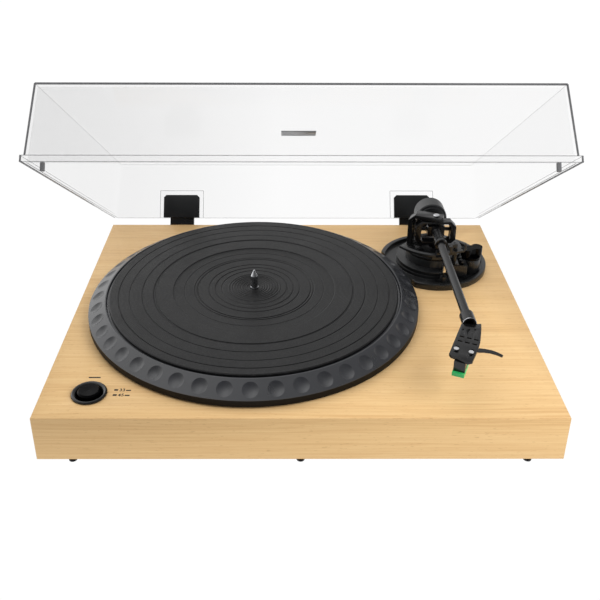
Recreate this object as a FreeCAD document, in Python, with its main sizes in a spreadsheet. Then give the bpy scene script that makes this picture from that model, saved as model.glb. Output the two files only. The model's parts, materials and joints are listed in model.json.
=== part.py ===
"""A belt-driven turntable: wooden plinth, platter, tonearm and a hinged clear dust cover.

Frame: +X right, +Y to the back, +Z up, in millimetres. The origin is on the surface that the
turntable stands on, under the centre of the plinth. The deck is the plinth's top face.
"""
import FreeCAD, Part
import math
import os

import Sketcher

doc = FreeCAD.newDocument("turntable")
sheet = doc.addObject("Spreadsheet::Sheet", "dims")

DRIVING_SIZES = {
    # plinth and feet
    "plinth_width": 450,
    "plinth_depth": 356,
    "plinth_height": 44,
    "foot_rise": 18,
    "board": 14,
    "base_panel": 4,
    "base_inset": 5,
    "foot_radius": 25,
    "foot_side_gap": 62,
    "pad_thick": 4,
    "fit_gap": 0.5,
    # platter, mat and bearing
    "platter_x": -45,
    "platter_radius": 166,
    "platter_lift": 2,
    "platter_side": 6.5,
    "bevel_top_radius": 149,
    "bevel_top": 18.7,
    "mat_radius": 145.3,
    "mat_seat": 17,
    "mat_thick": 3,
    "dimple_count": 45,
    "dimple_radius": 14.5,
    "dimple_turn": -1.2,
    "spindle_radius": 3.6,
    "shaft_radius": 4,
    "spindle_rise": 39,
    "spindle_drop": 34,
    "bush_radius": 7,
    "housing_radius": 9,
    "running_gap": 0.05,
    # drive
    "drive_ring": 92,
    "belt_low": 5,
    "belt_wide": 5,
    "belt_thick": 0.6,
    "belt_gap": 0.3,
    "pulley_x": -88,
    "pulley_y": -88,
    "pulley_radius": 6,
    "motor_radius": 17.5,
    "motor_tall": 20,
    "pulley_hole": 12,
    # speed button
    "button_x": -182.8,
    "button_y": -145.5,
    "bezel_radius": 15.5,
    "cap_radius": 9.9,
    "cap_rise": 4.5,
    "cap_travel": 2,
    # tonearm
    "pivot_x": 150.5,
    "pivot_y": 82,
    "arm_height": 44,
    "base_radius": 58,
    "base_thick": 7,
    "base_flat": 44.4,
    "pedestal_radius": 40,
    "pedestal_step": 11,
    "pedestal_top": 20,
    "knob_x": 37.5,
    "knob_y": -20,
    "knob_radius": 10,
    "yoke_turn": -22,
    "yoke_half": 29,
    "yoke_top": 59.5,
    "ring_half": 22,
    "ring_low": 27,
    "ring_top": 54.5,
    "tube_radius": 4.25,
    "tube_wall": 0.6,
    "tube_end": 185,
    "weight_radius": 17,
    "weight_near": 25.5,
    "weight_long": 20,
    "head_turn": -24,
    "shell_thick": 2.6,
    "cue_radius": 50,
    "cue_top": 39.3,
    "rest_y": -33,
    # dust cover and hinges
    "lid_width": 451,
    "lid_depth": 356,
    "lid_height": 67.5,
    "lid_draft": 4.8,
    "lid_wall": 3,
    "lid_lip": 2,
    "lip_tall": 6,
    "lid_open": 33.6,
    "hinge_y": 188.3,
    "hinge_drop": 15.6,
    "rim_above_axis": 16.1,
    "hinge_x": 141.5,
    "hinge_wide": 43.6,
    "hinge_tall": 28.2,
    "knuckle_half": 14.5,
    "knuckle_radius": 6,
    "pin_radius": 2,
}


class Size:
    """A number together with the spreadsheet formula that gives it."""

    def __init__(self, value, formula):
        self.value = float(value)
        self.formula = formula

    def joined(self, other, sign, backwards=False):
        left, right = (other, self) if backwards else (self, other)
        a, b = number(left), number(right)
        value = {"+": a + b, "-": a - b, "*": a * b, "/": a / b if b else 0.0}[sign]
        return Size(value, f"({formula(left)} {sign} {formula(right)})")

    def __add__(self, other):
        return self.joined(other, "+")

    def __radd__(self, other):
        return self.joined(other, "+", True)

    def __sub__(self, other):
        return self.joined(other, "-")

    def __rsub__(self, other):
        return self.joined(other, "-", True)

    def __mul__(self, other):
        return self.joined(other, "*")

    def __rmul__(self, other):
        return self.joined(other, "*", True)

    def __truediv__(self, other):
        return self.joined(other, "/")

    def __neg__(self):
        return self.joined(0, "-", True)


def number(size):
    return size.value if isinstance(size, Size) else float(size)


def formula(size):
    return size.formula if isinstance(size, Size) else repr(size)


class Sizes:
    """The spreadsheet's cells, read by alias."""


d = Sizes()
for row, (alias, cell_value) in enumerate(DRIVING_SIZES.items(), start=1):
    sheet.set(f"A{row}", alias)
    sheet.set(f"B{row}", str(cell_value))
    sheet.setAlias(f"B{row}", alias)
    setattr(d, alias, Size(cell_value, f"dims.{alias}"))
doc.recompute()

deck = d.foot_rise + d.plinth_height
nodes = []


# ---------------------------------------------------------------- helpers
def bind(thing, path, size):
    """Set a property, and tie it to the spreadsheet when the size comes from there."""
    if isinstance(size, Size):
        thing.setExpression(path, size.formula)
    else:
        setattr(thing, path, size)


def place(thing, x=0, y=0, z=0, axis=None, turn=0):
    """Put a thing at x, y, z, turned about an axis."""
    rotation = FreeCAD.Rotation(FreeCAD.Vector(*axis), number(turn)) if axis else FreeCAD.Rotation()
    base = FreeCAD.Vector(number(x), number(y), number(z))
    thing.Placement = FreeCAD.Placement(base, rotation)
    for letter, size in zip("xyz", (x, y, z)):
        if isinstance(size, Size):
            thing.setExpression(f"Placement.Base.{letter}", size.formula)
    return thing


def node(thing, label):
    """Keep a thing as one of the sub-parts that are written out."""
    thing.Label = label
    nodes.append(thing)
    return thing


def box(x, y, z, wide, deep, tall):
    """A box from its low corner."""
    solid = doc.addObject("Part::Box", "box")
    for path, size in (("Length", wide), ("Width", deep), ("Height", tall)):
        bind(solid, path, size)
    return place(solid, x, y, z)


def rod(x, y, z, radius, length, axis="z"):
    """A cylinder that starts at x, y, z and runs along +X, +Y or +Z."""
    solid = doc.addObject("Part::Cylinder", "rod")
    bind(solid, "Radius", radius)
    bind(solid, "Height", length)
    turned = {"x": ((0, 1, 0), 90), "y": ((1, 0, 0), -90), "z": (None, 0)}[axis]
    return place(solid, x, y, z, *turned)


def fuse(*parts):
    joined = doc.addObject("Part::MultiFuse", "joined")
    joined.Shapes = list(parts)
    joined.Refine = True
    return joined


def cut(base, *tools):
    """Take the tools away from the base."""
    tool = tools[0] if len(tools) == 1 else fuse(*tools)
    result = doc.addObject("Part::Cut", "cut")
    result.Base = base
    result.Tool = tool
    return result


def group(*parts):
    """Separate solids that share a node."""
    together = doc.addObject("Part::Compound", "group")
    together.Links = list(parts)
    return together


def body(label, x=0, y=0, z=0, axis=None, turn=0):
    part = doc.addObject("PartDesign::Body", "body")
    return place(node(part, label), x, y, z, axis, turn)


def sketch_on(part, plane, lift=0):
    """A sketch on one of the body's own origin planes, moved along that plane's normal."""
    sketch = part.newObject("Sketcher::SketchObject", "sketch")
    face = [f for f in part.Origin.OriginFeatures if f.Role == plane][0]
    sketch.AttachmentSupport = [(face, "")]
    sketch.MapMode = "FlatFace"
    sketch.AttachmentOffset = FreeCAD.Placement(FreeCAD.Vector(0, 0, number(lift)), FreeCAD.Rotation())
    if isinstance(lift, Size):
        sketch.setExpression("AttachmentOffset.Base.z", lift.formula)
    return sketch


def hold(sketch, kind, edge, end, size):
    """One distance from the sketch's origin, or one radius, tied to the spreadsheet."""
    if kind == "Radius":
        rule = Sketcher.Constraint(kind, edge, number(size))
    else:
        rule = Sketcher.Constraint(kind, -1, 1, edge, end, number(size))
    index = sketch.addConstraint(rule)
    if isinstance(size, Size):
        sketch.setExpression(f"Constraints[{index}]", size.formula)


def outline(sketch, points):
    """A closed polygon with every corner held at its distances from the origin."""
    first = sketch.GeometryCount
    corners = [FreeCAD.Vector(number(x), number(y), 0) for x, y in points]
    count = len(corners)
    for i in range(count):
        sketch.addGeometry(Part.LineSegment(corners[i], corners[(i + 1) % count]), False)
    for i in range(count):
        following = first + (i + 1) % count
        sketch.addConstraint(Sketcher.Constraint("Coincident", first + i, 2, following, 1))
    for i, (x, y) in enumerate(points):
        hold(sketch, "DistanceX", first + i, 1, x)
        hold(sketch, "DistanceY", first + i, 1, y)


def rectangle(sketch, x, y, wide, tall):
    outline(sketch, [(x, y), (x + wide, y), (x + wide, y + tall), (x, y + tall)])


def circle(sketch, x, y, radius):
    centre = FreeCAD.Vector(number(x), number(y), 0)
    edge = sketch.addGeometry(Part.Circle(centre, FreeCAD.Vector(0, 0, 1), number(radius)), False)
    hold(sketch, "DistanceX", edge, 3, x)
    hold(sketch, "DistanceY", edge, 3, y)
    hold(sketch, "Radius", edge, 0, radius)


def pad(part, sketch, length, reverse=False):
    feature = part.newObject("PartDesign::Pad", "pad")
    feature.Profile = sketch
    feature.Reversed = reverse
    bind(feature, "Length", length)
    return feature


def pocket(part, sketch, length, reverse=False):
    """Cut against the sketch plane's normal, or along it when reversed."""
    feature = part.newObject("PartDesign::Pocket", "pocket")
    feature.Profile = sketch
    feature.Reversed = reverse
    bind(feature, "Length", length)
    return feature


def turned(label, points, x=0, y=0, z=0, axis=None, turn=0):
    """A body revolved about its own Z axis from a half section of radius and height."""
    part = body(label, x, y, z, axis, turn)
    sketch = sketch_on(part, "XZ_Plane")
    outline(sketch, points)
    feature = part.newObject("PartDesign::Revolution", "turned")
    feature.Profile = sketch
    feature.ReferenceAxis = (sketch, ["V_Axis"])
    feature.Angle = 360
    return part


def round_edges(part, radius, wanted):
    """Fillet the edges of the body's last feature that the test picks."""
    doc.recompute()
    last = part.Tip
    names = [f"Edge{i}" for i, edge in enumerate(last.Shape.Edges, start=1) if wanted(edge)]
    feature = part.newObject("PartDesign::Fillet", "rounded")
    feature.Base = (last, names)
    feature.Radius = radius
    return feature


def upright(edge):
    """True for a straight edge along Z."""
    a, b = edge.Vertexes[0].Point, edge.Vertexes[-1].Point
    return abs(a.x - b.x) < 1e-6 and abs(a.y - b.y) < 1e-6 and abs(a.z - b.z) > 1e-3


def screw(x, y, z, head_radius, head_tall, shank_radius, shank_long, down=True):
    """A pan-head screw whose head's underside is at z, with its shank up or down."""
    head_z = z if down else z - head_tall
    shank_z = z - shank_long if down else z
    return fuse(rod(x, y, head_z, head_radius, head_tall), rod(x, y, shank_z, shank_radius, shank_long))


# ---------------------------------------------------------------- plinth
# Where the connectors are along the back board.
JACK_X = -40
POWER_X = 45


def mitred_board(long, thick, wide, narrow, high_inset, low_inset):
    """A board whose outer face is its low Y face, with ends mitred by the board's thickness."""
    board = doc.addObject("Part::Wedge", "board")
    limits = {
        "Xmin": 0, "Xmax": long, "X2min": narrow, "X2max": long - narrow,
        "Ymin": 0, "Ymax": thick,
        "Zmin": 0, "Zmax": wide, "Z2min": low_inset, "Z2max": wide - high_inset,
    }
    for path, size in limits.items():
        bind(board, path, size)
    return board


def plinth():
    half_w, half_d = d.plinth_width / 2, d.plinth_depth / 2
    front = mitred_board(d.plinth_width, d.board, d.plinth_height, d.board, d.board, 0)
    node(place(front, -half_w, -half_d, d.foot_rise), "front_board")
    left = mitred_board(d.plinth_depth, d.board, d.plinth_height, d.board, d.board, 0)
    node(place(left, -half_w, half_d, d.foot_rise, (0, 0, 1), -90), "left_board")
    right = mitred_board(d.plinth_depth, d.board, d.plinth_height, d.board, d.board, 0)
    node(place(right, half_w, -half_d, d.foot_rise, (0, 0, 1), 90), "right_board")

    back = mitred_board(d.plinth_width, d.board, d.plinth_height, d.board, d.board, 0)
    place(back, half_w, half_d, d.foot_rise, (0, 0, 1), 180)
    through = d.board + 2
    jack_hole = box(JACK_X - 32, half_d - d.board - 1, d.foot_rise + 8, 64, through, 16)
    power_hole = rod(POWER_X, half_d - d.board - 1, d.foot_rise + 16, 7, through, "y")
    node(cut(back, jack_hole, power_hole), "back_board")

    top = mitred_board(d.plinth_width, d.board, d.plinth_depth, d.board, d.board, d.board)
    place(top, -half_w, -half_d, deck, (1, 0, 0), -90)
    low, deep = deck - d.board - 1, d.board + 2
    holes = [
        rod(d.platter_x, 0, low, d.housing_radius + d.fit_gap, deep),
        rod(d.platter_x + d.pulley_x, d.pulley_y, low, d.pulley_hole, deep),
        rod(d.button_x, d.button_y, low, d.bezel_radius - 2, deep),
        rod(d.pivot_x, d.pivot_y, low, 16, deep),
    ]
    node(cut(top, *holes), "top_board")

    panel = box(
        -half_w + d.base_inset, -half_d + d.base_inset, d.foot_rise - d.base_panel,
        d.plinth_width - 2 * d.base_inset, d.plinth_depth - 2 * d.base_inset, d.base_panel,
    )
    node(panel, "bottom_cover")


# The corners of the plinth's underside, as signs of X and Y.
CORNERS = {"front_left": (-1, -1), "front_right": (1, -1), "back_left": (-1, 1), "back_right": (1, 1)}


def base_screw(x, y, z):
    """The one kind of wood screw used underneath, head down."""
    return screw(x, y, z, 3.6, 2, 1.6, 12, down=False)


def feet():
    """Four hollow feet with rubber pads, screwed up into the bottom cover."""
    foot_x = d.plinth_width / 2 - d.foot_side_gap
    foot_y = d.plinth_depth / 2 - d.foot_side_gap
    top = d.foot_rise - d.base_panel
    pads, screws = [], []
    wall, well, post, hole = 3, 4, 9, 3
    for name, (side_x, side_y) in CORNERS.items():
        x, y = side_x * foot_x, side_y * foot_y
        profile = [
            (hole, d.pad_thick + well), (post - 3, d.pad_thick + well), (post - 3, d.pad_thick),
            (d.foot_radius - 2, d.pad_thick), (d.foot_radius, d.pad_thick + 2),
            (d.foot_radius, top - 2), (d.foot_radius - 2, top),
            (d.foot_radius - 2 - wall, top), (d.foot_radius - 2 - wall, d.pad_thick + well),
            (post, d.pad_thick + well), (post, top), (hole, top),
        ]
        turned("foot_" + name, profile, x, y, 0)
        pad_outer = rod(x, y, 0, d.foot_radius - 2, d.pad_thick)
        pads.append(cut(pad_outer, rod(x, y, -1, post - 3, d.pad_thick + 2)))
        screws.append(base_screw(x, y, d.pad_thick + well))
    node(group(*pads), "foot_pads")

    edge_x = d.plinth_width / 2 - d.board / 2
    edge_y = d.plinth_depth / 2 - d.board / 2
    for x, y in ((-0.9, -1), (0, -1), (0.9, -1), (-0.9, 1), (0, 1), (0.9, 1), (-1, 0), (1, 0)):
        screws.append(base_screw(x * edge_x, y * edge_y, top))
    node(group(*screws), "base_screws")


# ---------------------------------------------------------------- platter and drive
def platter():
    """Die-cast platter: a vertical side, a bevel with dimples, a sunken mat seat and a drive ring."""
    side_top = d.platter_lift + d.platter_side
    hub, hub_low, web, lip = 14, 5, 12, 1
    ring_wall, skirt = 4, 5
    profile = [
        (d.platter_radius, d.platter_lift),
        (d.platter_radius, side_top),
        (d.bevel_top_radius, d.bevel_top),
        (d.bevel_top_radius - lip, d.bevel_top),
        (d.bevel_top_radius - 2 * lip, d.mat_seat),
        (d.shaft_radius, d.mat_seat),
        (d.shaft_radius, hub_low),
        (hub, hub_low),
        (hub, web),
        (d.drive_ring - ring_wall, web),
        (d.drive_ring - ring_wall, d.platter_lift + 1),
        (d.drive_ring, d.platter_lift + 1),
        (d.drive_ring, web),
        (d.bevel_top_radius - 6, web),
        (d.platter_radius - skirt, side_top - 3),
        (d.platter_radius - skirt, d.platter_lift),
    ]
    part = turned("platter", profile, d.platter_x, 0, deck, (0, 0, 1), d.dimple_turn)
    doc.recompute()
    base = part.Tip
    volume = base.Shape.Volume

    # A dimple is the cap of a sphere whose centre stands off the middle of the bevel.
    run = d.platter_radius.value - d.bevel_top_radius.value
    rise = d.bevel_top.value - side_top.value
    slant = math.hypot(run, rise)
    dimple_deep = 2.0
    off = d.dimple_radius.value - dimple_deep
    middle_r = (d.platter_radius.value + d.bevel_top_radius.value) / 2
    middle_z = (side_top.value + d.bevel_top.value) / 2
    dimple = part.newObject("PartDesign::SubtractiveSphere", "dimple")
    bind(dimple, "Radius", d.dimple_radius)
    plane = [f for f in part.Origin.OriginFeatures if f.Role == "XY_Plane"][0]
    dimple.AttachmentSupport = [(plane, "")]
    dimple.MapMode = "FlatFace"
    centre = FreeCAD.Vector(middle_r + off * rise / slant, 0, middle_z + off * run / slant)
    dimple.AttachmentOffset = FreeCAD.Placement(centre, FreeCAD.Rotation())
    around = part.newObject("PartDesign::PolarPattern", "dimples")
    around.Originals = [dimple]
    z_axis = [f for f in part.Origin.OriginFeatures if f.Role == "Z_Axis"][0]
    around.Axis = (z_axis, [""])
    around.Angle = 360
    bind(around, "Occurrences", d.dimple_count)
    part.Tip = around
    doc.recompute()
    if part.Shape.Volume >= volume - 1:
        raise RuntimeError("the dimples cut nothing")


def slip_mat():
    """Rubber mat with a rounded shoulder and concentric grooves."""
    top, shoulder, groove = d.mat_thick, 1.6, 0.7
    profile = [(d.shaft_radius + d.fit_gap, 0), (d.mat_radius, 0), (d.mat_radius, d.mat_thick - shoulder)]
    profile += [(d.mat_radius - shoulder, top)]
    for middle, half in ((101, 1.0), (82, 1.4), (60, 1.0), (47, 0.6), (37, 0.6)):
        profile += [(middle + half, top), (middle + half, top - groove)]
        profile += [(middle - half, top - groove), (middle - half, top)]
    profile += [(d.shaft_radius + d.fit_gap, top)]
    turned("slip_mat", profile, d.platter_x, 0, deck + d.mat_seat)


def ring_places(radius, angles):
    """Points on a circle round the origin, at angles in degrees."""
    return [(radius * math.cos(math.radians(a)), radius * math.sin(math.radians(a))) for a in angles]


def bearing():
    """Spindle, bronze bush, flanged housing and thrust ball, under the deck."""
    tip = 6
    shoulder = d.mat_seat + d.mat_thick
    spindle = [
        (0, -d.spindle_drop), (d.shaft_radius, -d.spindle_drop),
        (d.shaft_radius, shoulder), (d.spindle_radius, shoulder),
        (d.spindle_radius, d.spindle_rise - tip), (0.8, d.spindle_rise), (0, d.spindle_rise),
    ]
    turned("spindle", spindle, d.platter_x, 0, deck)

    ball, ball_well = 2.5, d.shaft_radius + 0.3
    bush_low = -d.spindle_drop + 4
    bore = d.shaft_radius + d.running_gap
    bush = [(bore, bush_low), (d.bush_radius, bush_low), (d.bush_radius, 2), (bore, 2)]
    turned("bearing_bush", bush, d.platter_x, 0, deck)

    floor, flange, flange_thick = -d.spindle_drop - 2 * ball, 22, 2
    flange_z = -d.board - flange_thick
    housing = [
        (0, floor - 1.5), (d.housing_radius, floor - 1.5), (d.housing_radius, flange_z),
        (flange, flange_z), (flange, -d.board), (d.housing_radius, -d.board),
        (d.housing_radius, 2.5), (d.bush_radius, 2.5), (d.bush_radius, bush_low),
        (ball_well, bush_low), (ball_well, floor), (0, floor),
    ]
    part = turned("bearing_housing", housing, d.platter_x, 0, deck)
    holes = sketch_on(part, "XY_Plane", -d.board + 1)
    for x, y in ring_places(16, (30, 150, 270)):
        circle(holes, x, y, 1.6)
    part.Tip = pocket(part, holes, flange_thick + 2)

    thrust_ball = doc.addObject("Part::Sphere", "ball")
    thrust_ball.Radius = ball
    place(thrust_ball, d.platter_x, 0, deck - d.spindle_drop - ball)
    node(thrust_ball, "thrust_ball")


def belt_loop(ring, small, far_x, far_y, thick):
    """A band round a big circle at the origin and a small one at far_x, far_y."""
    span = math.hypot(far_x, far_y)
    heading = math.atan2(far_y, far_x)
    lean = math.acos((ring - small) / span)

    def loop(extra):
        big, little = ring + extra, small + extra
        up, down = heading + lean, heading - lean

        def at(cx, cy, radius, angle):
            return FreeCAD.Vector(cx + radius * math.cos(angle), cy + radius * math.sin(angle), 0)

        start, end = at(0, 0, big, up), at(0, 0, big, down)
        far_start, far_end = at(far_x, far_y, little, down), at(far_x, far_y, little, up)
        round_big = Part.Arc(start, at(0, 0, big, heading + math.pi), end).toShape()
        round_small = Part.Arc(far_start, at(far_x, far_y, little, heading), far_end).toShape()
        straights = [Part.makeLine(end, far_start), Part.makeLine(far_end, start)]
        return Part.Wire([round_big, straights[0], round_small, straights[1]])

    return Part.Face(loop(thick)).cut(Part.Face(loop(0)))


def drive():
    """Motor under the deck, pulley, flat belt, rubber grommets."""
    x, y = d.platter_x + d.pulley_x, d.pulley_y
    band = belt_loop(
        d.drive_ring.value + d.belt_gap.value, d.pulley_radius.value + d.belt_gap.value,
        d.pulley_x.value, d.pulley_y.value, d.belt_thick.value,
    )
    belt = doc.addObject("Part::Feature", "belt")
    belt.Shape = band.extrude(FreeCAD.Vector(0, 0, d.belt_wide.value))
    node(place(belt, d.platter_x, 0, deck + d.belt_low), "drive_belt")

    shaft = 1
    pulley_low, pulley_tall, rim = -12, 23, 1.4
    low_band, high_band = d.belt_low - 0.8, d.belt_low + d.belt_wide + 0.8
    pulley = [
        (shaft + d.running_gap, pulley_low), (4, pulley_low), (4, low_band - 1.5),
        (d.pulley_radius + rim, low_band - 1.5), (d.pulley_radius + rim, low_band),
        (d.pulley_radius, low_band), (d.pulley_radius, high_band - 0.6),
        (d.pulley_radius + rim, high_band - 0.2), (d.pulley_radius + rim, pulley_low + pulley_tall),
        (shaft + d.running_gap, pulley_low + pulley_tall),
    ]
    turned("motor_pulley", pulley, x, y, deck)

    can_top = -d.board - 2
    plate_thick, boss, shaft_top = 1.5, 3.5, 9
    motor = [
        (0, can_top - d.motor_tall), (d.motor_radius, can_top - d.motor_tall),
        (d.motor_radius, can_top - plate_thick), (d.motor_radius + 10, can_top - plate_thick),
        (d.motor_radius + 10, can_top), (boss, can_top), (boss, can_top + 2),
        (shaft, can_top + 2), (shaft, shaft_top), (0, shaft_top),
    ]
    motor_body = turned("motor", motor, x, y, deck)
    spots = ring_places(23, (90, 210, 330))
    holes = sketch_on(motor_body, "XY_Plane", can_top + 1)
    for spot_x, spot_y in spots:
        circle(holes, spot_x, spot_y, 2.6)
    motor_body.Tip = pocket(motor_body, holes, plate_thick + 3)

    grommets, screws = [], []
    low = deck - d.board - 5
    for spot_x, spot_y in spots:
        gx, gy = x + spot_x, y + spot_y
        sleeve = rod(gx, gy, low, 2.5, 5)
        collar = rod(gx, gy, low, 4, 1.4)
        washer = rod(gx, gy, low + 3.1, 4, 1.9)
        grommets.append(cut(fuse(sleeve, collar, washer), rod(gx, gy, low - 1, 1.55, 8)))
        screws.append(machine_screw(gx, gy, low, 12))
    node(group(*grommets), "motor_grommets")
    return screws


def machine_screw(x, y, z, long):
    """A screw that goes up into the underside of the deck."""
    return screw(x, y, z, 3, 2, 1.5, long, down=False)


def deck_screws(motor_screws):
    """The screws that hold the motor and the bearing's flange under the deck."""
    screws = list(motor_screws)
    for x, y in ring_places(16, (30, 150, 270)):
        screws.append(machine_screw(d.platter_x + x, y, deck - d.board - 2, 9))
    node(group(*screws), "machine_screws")


# ---------------------------------------------------------------- electrics
def speed_button():
    """A round push button in a ring, over the switch on the control board."""
    ring_tall, sink, inner = 2.6, 12, 11.2
    bezel = [
        (inner, -sink), (d.bezel_radius - 2.4, -sink), (d.bezel_radius - 2.4, 0),
        (d.bezel_radius, 0), (d.bezel_radius, ring_tall - 1.2), (d.bezel_radius - 1.4, ring_tall),
        (inner + 1.2, ring_tall - 0.8), (inner, ring_tall - 2.2),
    ]
    turned("button_bezel", bezel, d.button_x, d.button_y, deck)
    cap_low, stem, stem_low = -7, 2, -10.2
    cap = [
        (0, stem_low), (stem, stem_low), (stem, cap_low + 2),
        (d.cap_radius - 2, cap_low + 2), (d.cap_radius - 2, cap_low),
        (d.cap_radius, cap_low), (d.cap_radius, d.cap_rise - 1.4),
        (d.cap_radius - 1.4, d.cap_rise), (0, d.cap_rise - 0.5),
    ]
    turned("speed_button", cap, d.button_x, d.button_y, deck)


def electrics():
    """Control board under the button, and the connectors in the back board."""
    board_low, board_thick = deck - 18.1, 1.6
    x, y = d.button_x - 24, d.button_y - 14
    wide, deep = 40, 62
    plate = box(x, y, board_low, wide, deep, board_thick)
    switch = box(d.button_x - 3, d.button_y - 3, board_low, 6, 6, 5.5)
    chip = box(d.button_x - 4, d.button_y + 20, board_low - 2, 12, 8, 3)
    socket = box(d.button_x - 18, d.button_y + 34, board_low - 7, 14, 7, 8)
    can = rod(d.button_x + 4, d.button_y + 38, board_low - 9, 4, 10)
    corners = [(x + a, y + b) for a in (4, wide - 4) for b in (4, deep - 4)]
    legs = [rod(leg_x, leg_y, board_low, 2.5, 4.1) for leg_x, leg_y in corners]
    node(fuse(plate, switch, chip, socket, can, *legs), "circuit_board")

    back = d.plinth_depth / 2
    jack_z = d.foot_rise + 16
    plate = box(JACK_X - 38, back, d.foot_rise + 4, 76, 1.5, 24)
    case = box(JACK_X - 30, back - 22, d.foot_rise + 9, 60, 22, 14)
    places = {"left": JACK_X - 22, "right": JACK_X - 6, "ground": JACK_X + 8, "usb": JACK_X + 21}
    bores = [rod(places[k], back - 10, jack_z, 4.1, 13, "y") for k in ("left", "right")]
    bores.append(rod(places["ground"], back - 10, jack_z, 2, 13, "y"))
    bores.append(box(places["usb"] - 5.5, back - 12, jack_z - 5, 11, 15, 10))
    node(cut(fuse(plate, case), *bores), "jack_plate")

    sockets = []
    for k in ("left", "right"):
        outer = rod(places[k], back - 8, jack_z, 4.1, 18, "y")
        sockets.append(cut(outer, rod(places[k], back - 5, jack_z, 1.7, 20, "y")))
    node(group(*sockets), "phono_sockets")
    stud = rod(places["ground"], back - 8, jack_z, 2, 17, "y")
    nut = rod(places["ground"], back + 2.5, jack_z, 4.5, 5, "y")
    node(fuse(stud, nut), "ground_post")

    barrel = rod(POWER_X, back - 16, jack_z, 6.7, 16, "y")
    collar = rod(POWER_X, back, jack_z, 9, 2, "y")
    well = rod(POWER_X, back - 10, jack_z, 3, 14, "y")
    pin = rod(POWER_X, back - 11, jack_z, 1, 10, "y")
    node(fuse(cut(fuse(barrel, collar), well), pin), "power_socket")


# ---------------------------------------------------------------- tonearm
def from_pivot(x, y):
    return d.pivot_x + x, d.pivot_y + y


def arm_base():
    """Round base plate, cut flat beside the platter, with a raised rim round a shallow floor."""
    rim, floor, stem = 5, 3, 15.5
    to_platter = math.degrees(math.atan2(-d.pivot_y.value, d.platter_x.value - d.pivot_x.value))
    part = body("arm_base", d.pivot_x, d.pivot_y, deck, (0, 0, 1), to_platter)
    disc = sketch_on(part, "XY_Plane")
    circle(disc, 0, 0, d.base_radius)
    pad(part, disc, d.base_thick)
    well = sketch_on(part, "XY_Plane", d.base_thick)
    circle(well, 0, 0, d.base_radius - rim)
    circle(well, 0, 0, d.pedestal_radius + 0.4)
    pocket(part, well, d.base_thick - floor)
    collar = sketch_on(part, "XY_Plane")
    circle(collar, 0, 0, stem)
    circle(collar, 0, 0, stem - 4)
    pad(part, collar, d.board + 4, reverse=True)
    flat = sketch_on(part, "XY_Plane", d.base_thick + 1)
    rectangle(flat, d.base_flat, -d.base_radius, d.base_radius, 2 * d.base_radius)
    part.Tip = pocket(part, flat, d.base_thick + 2)


def pedestal():
    """Stepped drum that carries the yoke, with bosses for the arm rest and the anti-skate knob."""
    drum = rod(*from_pivot(0, 0), deck + d.base_thick, d.pedestal_radius, d.pedestal_step - d.base_thick)
    core = rod(*from_pivot(0, 0), deck + d.base_thick, 30.5, d.pedestal_top - d.base_thick)
    rest_boss = box(*from_pivot(9, -39.5), deck + d.base_thick, 21, 24.5, d.pedestal_top - d.base_thick)
    floor = 3
    post = rod(*from_pivot(d.knob_x, d.knob_y), deck + floor, d.knob_radius, d.pedestal_top - floor)
    boss = cut(post, rod(*from_pivot(0, 0), deck, d.pedestal_radius + 0.4, d.base_thick))
    lever_slot = box(*from_pivot(21.5, -38), deck + 12, 5, 16, 20)
    pin_hole = rod(*from_pivot(0, 0), deck + d.pedestal_top - 6, 2.05, 8)
    knob_hole = rod(*from_pivot(d.knob_x, d.knob_y), deck + d.pedestal_top - 6, 3.05, 8)
    solid = fuse(drum, core, rest_boss, boss)
    node(cut(solid, lever_slot, pin_hole, knob_hole), "arm_pedestal")


def yoke():
    """Bracket over the arm: a windowed upright on a foot plate and a bar that ends over the pivot."""
    part = body("yoke", d.pivot_x, d.pivot_y, deck, (0, 0, 1), d.yoke_turn)
    foot, foot_tall, half_deep = 30.5, 3, 7
    low = d.pedestal_top
    plate = sketch_on(part, "XY_Plane", low)
    circle(plate, 0, 0, foot)
    circle(plate, 0, 0, 6)
    pad(part, plate, foot_tall)
    side = sketch_on(part, "XZ_Plane", -half_deep)
    corner = 7
    outline(side, [
        (-d.yoke_half, low + 1), (-d.yoke_half, d.yoke_top - corner),
        (-d.yoke_half + corner, d.yoke_top), (7, d.yoke_top), (7, d.yoke_top - 4),
        (-d.yoke_half + 7, d.yoke_top - 4), (-d.yoke_half + 5, d.yoke_top - 6),
        (-d.yoke_half + 5, low + 1),
    ])
    pad(part, side, 2 * half_deep)
    window = sketch_on(part, "YZ_Plane", -d.yoke_half - 1)
    rectangle(window, -3.5, low + 8, 7, 20)
    pocket(part, window, 8, reverse=True)
    bore = sketch_on(part, "XY_Plane", d.yoke_top + 1)
    circle(bore, 0, 0, 2.5)
    part.Tip = pocket(part, bore, 6)

    head, pin = 3.4, 1.2
    tall = d.yoke_top - d.ring_top
    pivot_screw = [
        (0, -tall - 2), (0.3, -tall - 2), (pin, -tall + 0.6), (2.5, -tall + 0.8), (2.5, 0),
        (head, 0), (head, 1.2), (head - 0.6, 1.7), (0, 1.7),
    ]
    turned("pivot_screw", pivot_screw, *from_pivot(0, 0), deck + d.yoke_top)


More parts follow.
